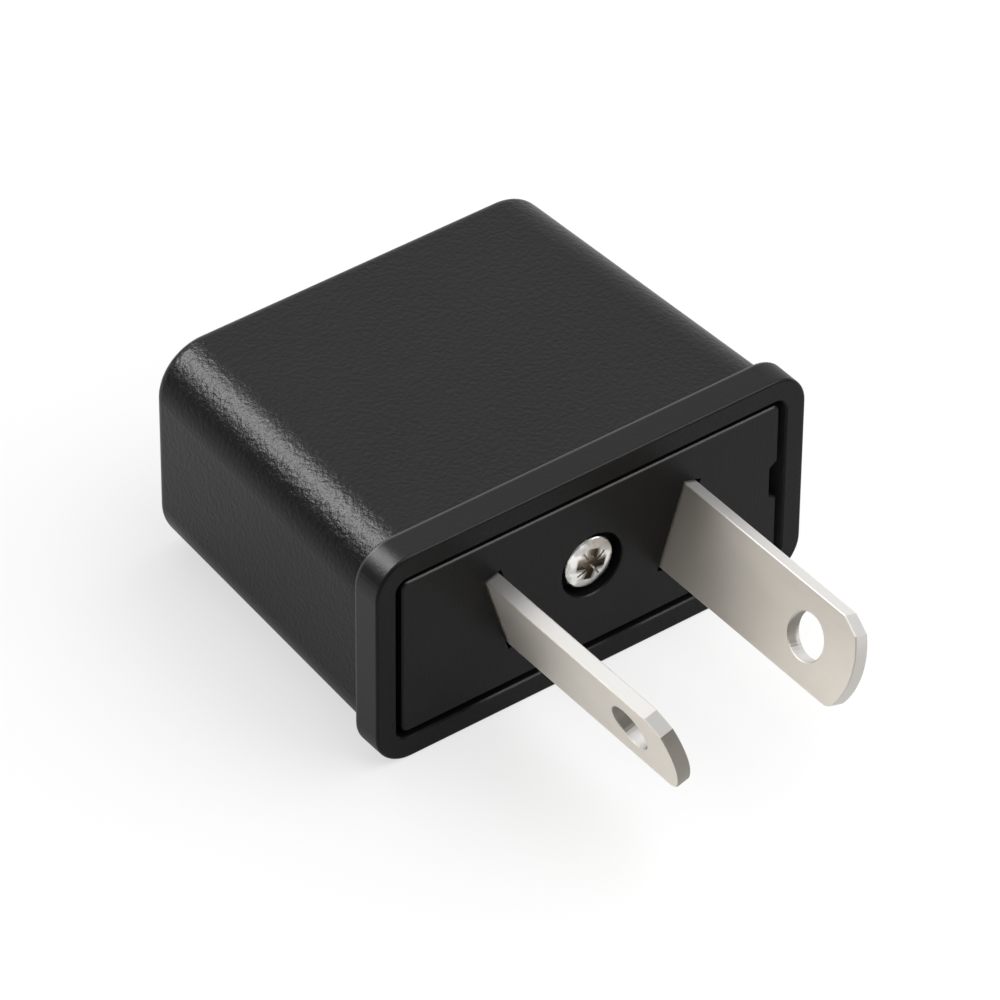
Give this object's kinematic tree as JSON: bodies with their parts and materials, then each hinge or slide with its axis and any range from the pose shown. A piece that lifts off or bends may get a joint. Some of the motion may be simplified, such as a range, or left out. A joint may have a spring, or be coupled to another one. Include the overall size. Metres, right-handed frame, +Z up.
{
  "type": "travel adapter",
  "caption": "Black travel adapter with slanted flat blades on an inset, screwed face plate, and rear apertures that take round pins or flat blades.",
  "frame": {"origin": "on the resting plane, under the middle of the overall box", "axes": "+Y from the blades' tips towards the rear apertures, +Z up with the adapter lying on a broad side, +X to the right seen from the blades"},
  "size_m": [0.033, 0.043, 0.016],
  "materials": {
    "housing": "black, fine moulded grain",
    "plate": "black, smooth satin",
    "blade": "nickel plated, finely brushed",
    "contact": "bright rolled strip",
    "rivet": "bright, upset ends",
    "screw": "zinc plated, bright"
  },
  "bodies": {
    "root": {"housing": "housing", "face_plate": "plate", "blade_left": "blade", "blade_right": "blade", "contact_left": "contact", "contact_right": "contact", "rivets": "rivet", "screw": "screw"}
  },
  "joints": []
}
